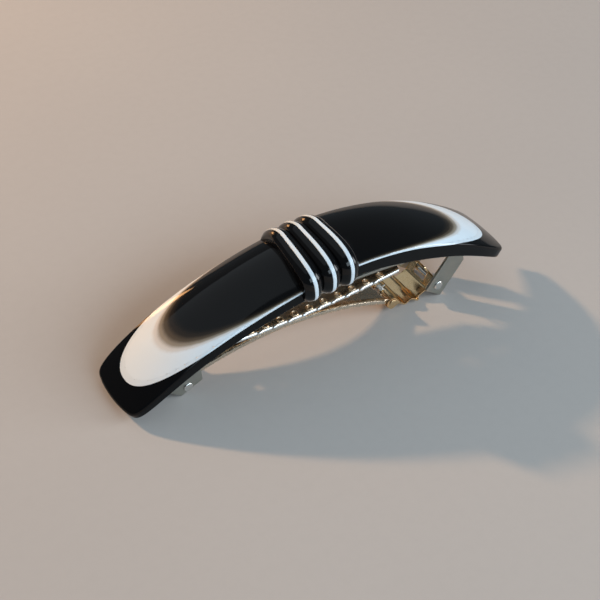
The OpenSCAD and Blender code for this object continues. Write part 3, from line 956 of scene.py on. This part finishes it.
def build_base():
    """The pressed base plate: slotted plate, two ears, two tower sides and two keeper straps."""
    inner = CLIP_HALF - SIDE_T
    long_u, flare_u = base_u(40.4), base_u(36.4)
    half = [(-long_u, CLIP_HALF - 0.1), (-flare_u, CLIP_HALF - 0.1), (-flare_u + 0.7, inner),
            (flare_u - 0.7, inner), (flare_u, CLIP_HALF - 0.1), (long_u, CLIP_HALF - 0.1)]
    outline = fillet(half + [(u, -v) for u, v in half[::-1]], [0.8, 0.3, 0.3, 0.3, 0.3, 0.8] * 2)
    holes = [slot_loop(base_u(x), 2.5, 0.9) for x in (-20, -10, 0, 10, 20)]
    holes += [circle((base_u(x), y), 0.55, 20) for x in (-15, -5, 5, 15) for y in (-3.4, 3.4)]
    parts = [sheet_metal(outline, holes, BASE_T, base_bend, edge=0.16, step=0.8, grid=1.1)]
    ear = fillet([(-40.4, -9.75), (-41, -15.2), (-38.3, -17.5), (-32.7, -15.1), (-33.4, -8.6)],
                 [0.2, 0.7, 0.5, 0.45, 0.2])
    tower = fillet(tower_outline(), [0.45, 0.45, 0.3, 0.2, 0.3])
    for shape, at, r in ((ear, HINGE, 0.85), (tower, CATCH, 0.9)):
        for y0 in (inner, -CLIP_HALF):
            parts.append(sheet_metal(shape, [circle(at, r + 0.04, 28)], SIDE_T, upright(y0),
                                     edge=0.15, step=0.8, grid=1.6))
    for x in (-26.0, 24.0):
        parts.append(keeper(x))
    add_piece("base_plate_visual", parts, "barrette", ["base_plate"], "satin_steel", M_STEEL)


def keeper(x, length=1.4, t=0.55, half=3.2):
    """A strap folded from the base plate that the tongue of the tension strip sits in."""
    roof = base_top_z(x) - BASE_T / 2
    floor = tension_z(x) - TENSION_T - 0.25
    path = fillet([(-half + t / 2, roof), (-half + t / 2, floor - t / 2), (half - t / 2, floor - t / 2),
                   (half - t / 2, roof)], [0, 0.55, 0.55, 0])
    points = []
    for k, (y, z) in enumerate(path):
        a, b = Vector(path[max(k - 1, 0)]), Vector(path[min(k + 1, len(path) - 1)])
        d = (b - a).normalized()
        n = Vector((d.y, -d.x)) * t / 2
        e = 0.1
        for sx, sn in ((-1, -1), (-1, 1), (1, 1), (1, -1)):
            for first in (0, 1):
                cut = (e, 0) if (first == 0) == (sx * sn > 0) else (0, e)
                px = sx * (length / 2 - cut[0])
                pn = sn * (1 - cut[1] / (t / 2))
                points.append((x + px, y + n.x * pn, z + n.y * pn))
    return points, quads(len(path), 8) + lids(len(path), 8)


def build_pads():
    for node, side in (("bond_pad_hinge_end", -1), ("bond_pad_latch_end", 1)):
        points = []
        rows, around = 26, 36
        for i in range(rows):
            t = i / (rows - 1)
            x = 30.15 + 8.9 * t
            roof = math.sqrt(BAR_R ** 2 - x * x) - BAR_R + 0.05
            floor = base_top_z(x) - 0.05
            plump = math.sin(math.pi * min(1, max(0.02, t * 0.96 + 0.02))) ** 0.25
            for c, d in circle((0, 0), 1, around):
                wobble = 0.30 * noise.noise(Vector((x * 0.55, c * 2.0 + side * 5, d)))
                y = (3.9 * plump + wobble) * math.copysign(abs(c) ** 0.55, c)
                z = (roof + floor) / 2 + (roof - floor) / 2 * math.copysign(abs(d) ** 0.35, d)
                points.append((side * x, y, z))
        lump = (points, quads(rows, around) + lids(rows, around))
        add_piece(node + "_visual", [lump], "barrette", [node], "adhesive", M_GLUE, sharp_deg=60)


def pin_profile(half, r, head_r, head_t):
    """Half of a riveted pin, from its middle to the top of its domed head."""
    out = [(0, r), (half, r), (half, head_r * 0.9), (half + head_t * 0.18, head_r)]
    for k in range(1, 9):
        a = math.pi / 2 * k / 8
        dome_r = max(0.02, head_r * math.cos(a) ** 0.75)
        out.append((half + head_t * (0.18 + 0.82 * math.sin(a)), dome_r))
    return out


def build_pins():
    rows = (("hinge_pin", "barrette", HINGE, 0.85, CLIP_HALF, 1.15, 0.4, "polished_pin", M_PIN),
            ("catch_bar", "barrette", CATCH, 0.9, CLIP_HALF, 1.25, 0.4, "polished_pin", M_PIN),
            ("latch_pin", "arm", LATCH, 0.55, 5.4, 0.9, 0.3, "latch_brass", M_LATCH))
    for node, body, at, r, half, head_r, head_t, slot, material in rows:
        profile = pin_profile(half, r, head_r, head_t)
        whole = [(-d, q) for d, q in profile[::-1]] + profile[1:]
        add_piece(node + "_visual", [lathe(whole, at)], body, [node], slot, material)


# ---------------------------------------------------------------- tension strip
TENSION_R = 265.0
TENSION_T = 0.4
TENSION_MID_X = -1.0
TENSION_TOP = -9.9
TENSION_MID_Z = TENSION_TOP + TENSION_R
EYELET_Y = 3.5
EYELET_PITCH = 4.0
EYELET_COUNT = 10
EYELET_HOLE = 0.5
DOME_Y = 4.72


def tension_z(x):
    return TENSION_MID_Z - math.sqrt(TENSION_R ** 2 - (x - TENSION_MID_X) ** 2)


# The strip's long edges turn down from LIP_FROM, with radius LIP_R
LIP_FROM = 4.0
LIP_R = 0.72
LIP_TURN = math.radians(78)
LIP_END = LIP_FROM + LIP_R * LIP_TURN + 0.2


def tension_bend(u, v, h):
    """Lays the strip along its bow, with both long edges turned down into lips."""
    w, rise = abs(v), h - TENSION_T
    turn = min(max(w - LIP_FROM, 0) / LIP_R, LIP_TURN)
    past = max(0, w - LIP_FROM - LIP_R * LIP_TURN)
    y = min(w, LIP_FROM) + (LIP_R + rise) * math.sin(turn) + past * math.cos(turn)
    drop = LIP_R - (LIP_R + rise) * math.cos(turn) + past * math.sin(turn)
    a = u / TENSION_R
    r = TENSION_R + drop
    return (TENSION_MID_X + r * math.sin(a), math.copysign(y, v), TENSION_MID_Z - r * math.cos(a))


def eyelet_u(k):
    return (k - (EYELET_COUNT - 1) / 2) * EYELET_PITCH


def flared_eyelet(u, v, hole=EYELET_HOLE, rim=0.95, lift=0.5, count=28):
    """The turned-over rim of a pierced eyelet, standing on the strip."""
    profile = [(hole, 0.0), (hole, TENSION_T + lift * 0.55)]
    for k in range(1, 8):
        a = math.pi * k / 7
        mid, half = (hole + rim * 0.92) / 2, (rim * 0.92 - hole) / 2
        profile.append((mid - half * math.cos(a), TENSION_T + lift * (0.55 + 0.45 * math.sin(a))))
    profile += [(rim, TENSION_T + lift * 0.25), (rim * 1.04, TENSION_T - 0.05), (rim * 0.9, 0.02)]
    points = [tension_bend(x, y, h) for r, h in profile for x, y in circle((u, v), r, count)]
    return points, quads(len(profile), count, closed=True)


def pressed_dome(u, v, ru, rv, lift, count=24, rows=7):
    """A small raised bump pressed into the strip."""
    sunk = 0.08
    points = []
    for i in range(rows):
        a = math.pi / 2 * i / rows
        h = TENSION_T - sunk + (lift + sunk) * math.sin(a)
        ring = circle((0, 0), math.cos(a), count)
        points += [tension_bend(u + ru * x, v + rv * y, h) for x, y in ring]
    points.append(tension_bend(u, v, TENSION_T + lift))
    faces = quads(rows, count)
    for k in range(count):
        faces.append(((rows - 1) * count + k, (rows - 1) * count + (k + 1) % count, rows * count))
    faces.append(tuple(range(count))[::-1])
    return points, faces


def build_tension():
    """The bowed strip with its tongues, eyelets and scalloped lips; its tone runs from painted shade on the
    top through a painted warm reflection on the eyelets to bright nickel on the lips and domes.
    """
    end, body, tongue, tongue_half = LIP_END, 22.9, 26.25, 2.2
    right = [(body, end), (body + 0.7, tongue_half), (tongue, tongue_half),
             (tongue, -tongue_half), (body + 0.7, -tongue_half), (body, -end)]
    outline = fillet(right + [(-u, -v) for u, v in right], [0.5, 0.2, 0.6, 0.6, 0.2, 0.5] * 2)
    holes = [circle((eyelet_u(k), side * EYELET_Y), EYELET_HOLE + 0.03, 24)
             for k in range(EYELET_COUNT) for side in (-1, 1)]
    parts = [sheet_metal(outline, holes, TENSION_T, tension_bend, edge=0.12, step=0.5, grid=0.5)]
    # The flat top, under the bar, takes the dark brown end as painted shade; the lips turn to the bright
    # nickel end.
    tones = [lambda x, y, z: min(1, max(0, (abs(y) - 3.9) / 0.7))]
    for side in (-1, 1):
        for k in range(EYELET_COUNT):
            parts.append(flared_eyelet(eyelet_u(k), side * EYELET_Y))
            # Gold on the eyelet rims is a painted warm reflection.
            tones.append(0.42)
        for k in range(1, EYELET_COUNT):
            parts.append(pressed_dome(eyelet_u(k - 0.5), side * DOME_Y, 0.74, 0.5, 0.42))
            tones.append(1.0)
    add_piece("tension_strip_visual", parts, "tension", ["tension_strip"], "nickel_strip", M_STRIP,
              tones=tones)


# ---------------------------------------------------------------- arm
ARM_R = 81.5
ARM_MID = (-14.0, -91.9)
ARM_HALF = 4.6
ARM_SHEET = 0.6
ARM_ROUND = 0.65
ARM_FLAT = ARM_HALF - ARM_ROUND
ARM_FOLD = ARM_FLAT + ARM_ROUND * math.pi / 2


def arm_bend(u, v, h):
    """Folds the flat pressing into a channel and lays it along the arm's arc."""
    w = abs(v)
    r = ARM_ROUND - ARM_SHEET + h
    if w <= ARM_FLAT:
        y, depth = w, ARM_SHEET - h
    elif w <= ARM_FOLD:
        a = (w - ARM_FLAT) / ARM_ROUND
        y, depth = ARM_FLAT + r * math.sin(a), ARM_ROUND - r * math.cos(a)
    else:
        y, depth = ARM_FLAT + r, ARM_ROUND + (w - ARM_FOLD)
    a = u / ARM_R
    reach = ARM_R - depth
    return (ARM_MID[0] + reach * math.sin(a), math.copysign(y, v), ARM_MID[1] + reach * math.cos(a))


def arm_flat(point):
    """The flat-pattern place (u, v) of a point of the XZ plane on the near flange."""
    dx, dz = point[0] - ARM_MID[0], point[1] - ARM_MID[1]
    return ARM_R * math.atan2(dx, dz), ARM_FOLD + (ARM_R - math.hypot(dx, dz) - ARM_ROUND)


def build_arm():
    """The channel arm: a pierced web, folded flanges, hinge lugs and latch lugs."""
    hinge, latch = arm_flat(HINGE), arm_flat(LATCH)
    web_from = ARM_R * math.asin((-33.4 - ARM_MID[0]) / ARM_R)
    web_to = ARM_R * math.asin((18.6 - ARM_MID[0]) / ARM_R)
    edge_v = ARM_FOLD + 0.6
    start = -math.degrees(math.asin((hinge[1] - edge_v) / 1.7))
    half = [(web_from, 3.2), (web_from - 0.4, 3.9)]
    half += arc_points(hinge, 1.7, -75, start - 360, 30)
    half += [(latch[0] - 0.6, edge_v)]
    half += arc_points(latch, 1.1, 80, -90, 16)
    half += [(web_to + 0.2, 3.2), (web_to, 3.0)]
    outline = half + [(u, -v) for u, v in half[::-1]]
    holes = []
    for side in (-1, 1):
        holes.append(circle((hinge[0], side * hinge[1]), 0.91, 24))
        holes.append(circle((latch[0], side * latch[1]), 0.6, 20))
    for k in range(9):
        x = -27.4 + 5 * k
        holes.append(circle((ARM_R * math.asin((x - ARM_MID[0]) / ARM_R), 0), 1.0, 28))

    def bead(u, v):
        groove = -0.10 * math.exp(-((abs(v) - 2.3) / 0.45) ** 2)
        return groove if web_from + 2 < u < web_to - 2 else 0

    parts = [sheet_metal(outline, holes, ARM_SHEET, arm_bend, edge=0.13, step=0.6, grid=0.6,
                         raised=bead)]
    # The web takes a brown-gold tone and the flanges a paler one: painted shade on the web under the bar,
    # and painted light on the flanges.
    add_piece("clasp_arm_visual", parts, "arm", ["clasp_arm"], "nickel_arm", M_ARM,
              tones=[lambda x, y, z: 0.2 + 0.4 * min(1, max(0, (abs(y) - 3.6) / 0.9))])


# ---------------------------------------------------------------- latch
LATCH_SHEET = 0.5
TAB_HALF = 5.3
NOSE_HALF = 4.5
FIRST_WAVE = 20.2


def tab_line(x):
    return -19.9 - 0.155 * (x - FIRST_WAVE) - 0.5 * math.cos(math.tau * (x - FIRST_WAVE) / 4.0)


def latch_path():
    """Outer line of the lever: the waved thumb tab, then the snap nose."""
    line = [(x, tab_line(x)) for x in np.arange(18.9, 29.61, 0.1)]
    nose = [line[-1], (31.6, -20.3), (33.55, -16.9), (30.6, -12.6)]
    closed = fillet(nose + [(20, -12)], [0, 0.7, 0.35, 0, 0], step=0.1)
    keep = [p for p in closed if p[0] > 25]
    fine = [keep[0]]
    for p in keep[1:]:
        a, b = Vector(fine[-1]), Vector(p)
        parts = max(1, int((b - a).length / 0.25))
        fine += [tuple(a.lerp(b, i / parts)) for i in range(1, parts + 1)]
    return line[:-1] + fine


def build_latch():
    """The lever: one folded sheet for tab and nose, and a cheek on each side that holds the pin."""
    path = [Vector(p) for p in latch_path()]
    run = [0.0]
    for a, b in zip(path, path[1:]):
        run.append(run[-1] + (b - a).length)
    run = np.array(run)
    xs, zs = np.array([p.x for p in path]), np.array([p.y for p in path])

    def bend(u, v, h):
        u = min(max(u, 0.0), run[-1])
        at = lambda d: np.array([np.interp(d, run, xs), np.interp(d, run, zs)])
        (x, z), reach = at(u), 0.12
        dx, dz = at(min(u + reach, run[-1])) - at(max(u - reach, 0))
        n = math.hypot(dx, dz)
        return (x - dz / n * h, v, z + dx / n * h)

    wide_to = float(np.interp(28.8, xs[:107], run[:107]))
    end = float(run[-1])
    half = [(0, TAB_HALF), (wide_to, TAB_HALF), (wide_to, NOSE_HALF), (end, NOSE_HALF - 0.4)]
    corner_r = [0.5, 0.4, 0.0, 1.2]
    outline = fillet(half + [(u, -v) for u, v in half[::-1]], corner_r + corner_r[::-1])
    low, high, across = wide_to + 4.2, end - 2.6, 2.2
    window = fillet([(low, -across), (high, -across), (high, across), (low, across)], 0.6)
    parts = [sheet_metal(outline, [window], LATCH_SHEET, bend, edge=0.12, step=0.35, grid=0.45)]
    foot = [(x, tab_line(x) + LATCH_SHEET / 2) for x in (19, 20.2, 22.2, 23.6)]
    cheek = [(LATCH[0] - 1.3, LATCH[1])] + foot + [(LATCH[0] + 0.9, LATCH[1] + 0.9)]
    cheek = cheek + arc_points(LATCH, 1.3, 45, 175, 12)
    for y0 in (ARM_HALF + 0.2, -TAB_HALF):
        parts.append(sheet_metal(cheek, [circle(LATCH, 0.61, 22)], LATCH_SHEET, upright(y0),
                                 edge=0.12, step=0.4, grid=0.8))
    add_piece("latch_lever_visual", parts, "latch", ["latch_lever"], "latch_brass", M_LATCH)


def build_spring():
    """A torsion spring round the latch pin, with a leg under the arm and a leg on the lever."""
    coil, wire, turns, pitch = 0.82, 0.2, 6, 0.42
    half = (turns - 1) / 2 * pitch
    start = math.radians(242)
    path = [(LATCH[0] - 4.1, -half, LATCH[1] + 1.17)]
    steps = turns * 28
    spun = turns * math.tau + math.radians(28)
    for k in range(steps + 1):
        t = k / steps
        a = start + t * spun
        path.append((LATCH[0] + coil * math.cos(a), -half + 2 * half * t, LATCH[1] + coil * math.sin(a)))
    path.append((LATCH[0] + 2.2, half, LATCH[1] - 0.15))
    add_piece("latch_spring_visual", [tube(path, wire)], "arm", ["latch_spring"], "spring_wire", M_WIRE)


build_bar()
build_rings()
build_pads()
build_base()
build_pins()
build_tension()
build_arm()
build_latch()
build_spring()


# ---------------------------------------------------------------- floor, light, camera
FLOOR_GAP = 0.00002


def build_floor():
    bm = bmesh.new()
    bmesh.ops.create_grid(bm, x_segments=24, y_segments=24, size=3.0)
    mesh = bpy.data.meshes.new("floor")
    bm.to_mesh(mesh)
    bm.free()
    mesh.materials.append(floor_paint("floor_paint"))
    floor = new_object("floor", mesh)
    floor.location.z = min(0.0, cad_box[0].z) - FLOOR_GAP


def area_light(name, at, aim, size, power, colour, size_y=None):
    data = bpy.data.lights.new(name, "AREA")
    data.energy, data.color, data.size = power, colour, size
    if size_y:
        data.shape, data.size_y = "RECTANGLE", size_y
    obj = new_object(name, data)
    obj.location = at
    obj.rotation_euler = (Vector(aim) - Vector(at)).to_track_quat("-Z", "Y").to_euler()
    return obj


def build_light():
    """A low warm sun from behind, and cool windows in front, at the side and above."""
    centre = (cad_box[0] + cad_box[1]) / 2
    travel, low = math.radians(299), math.radians(25)
    toward = Vector((math.cos(low) * math.cos(travel), math.cos(low) * math.sin(travel), -math.sin(low)))
    warm, amber = (1.0, 0.62, 0.35), (1.0, 0.50, 0.2)
    cool, pale, sky = (0.73, 0.88, 1.0), (0.92, 0.96, 1.0), (0.82, 0.92, 1.0)
    key = area_light("low_sun", centre - toward * 0.7, centre, 0.04, 4.3, warm)
    key.visible_glossy = False
    behind = centre + Vector((-0.10, 0.98, 0.07)) * 0.9
    area_light("warm_window", behind, centre, 0.20, 0.5, amber, size_y=0.10)
    ahead = centre + Vector((0.25, -0.83, 0.60))
    area_light("front_window", ahead, centre, 1.5, 8.4, cool, size_y=0.45)
    beside = centre + Vector((0.85, -0.43, 0.36))
    area_light("side_window", beside, centre, 0.34, 4.0, pale, size_y=0.5)
    above = centre + Vector((-0.12, 0.45, 1.1))
    area_light("ceiling_panel", above, Vector((above.x, centre.y, centre.z)), 1.65, 3.7, sky, size_y=2.1)
    world = bpy.data.worlds.new("room")
    world.use_nodes = True
    back = world.node_tree.nodes["Background"]
    back.inputs["Color"].default_value = (*cool, 1)
    back.inputs["Strength"].default_value = 0.12
    bpy.context.scene.world = world


def build_camera():
    """The view of the picture: turned, lifted and rolled about the bar, with a long lens."""
    turn, lift, roll = math.radians(-33.748), math.radians(42.797), math.radians(1.08)
    shift = Vector((-2.833, -8.529, 292.794))
    back = Vector((math.sin(turn) * math.cos(lift), -math.cos(turn) * math.cos(lift), math.sin(lift)))
    right = Vector((math.cos(turn), math.sin(turn), 0))
    up = back.cross(right)
    c, s = math.cos(roll), math.sin(roll)
    right, up = right * c + up * s, up * c - right * s
    place_at = right * shift.x + up * shift.y + back * shift.z
    pose = Matrix((right, up, back)).transposed().to_4x4()
    data = bpy.data.cameras.new("camera")
    data.sensor_width, data.lens = 36.0, 76.78
    data.clip_start, data.clip_end = 0.01, 20.0
    camera = new_object("camera", data)
    camera.matrix_world = Matrix.Translation(TO_ROW @ place_at) @ TURN @ pose
    bpy.context.scene.camera = camera


build_floor()
build_light()
build_camera()
scene = bpy.context.scene
scene.view_settings.view_transform = "Standard"
scene.view_settings.exposure = 0.0
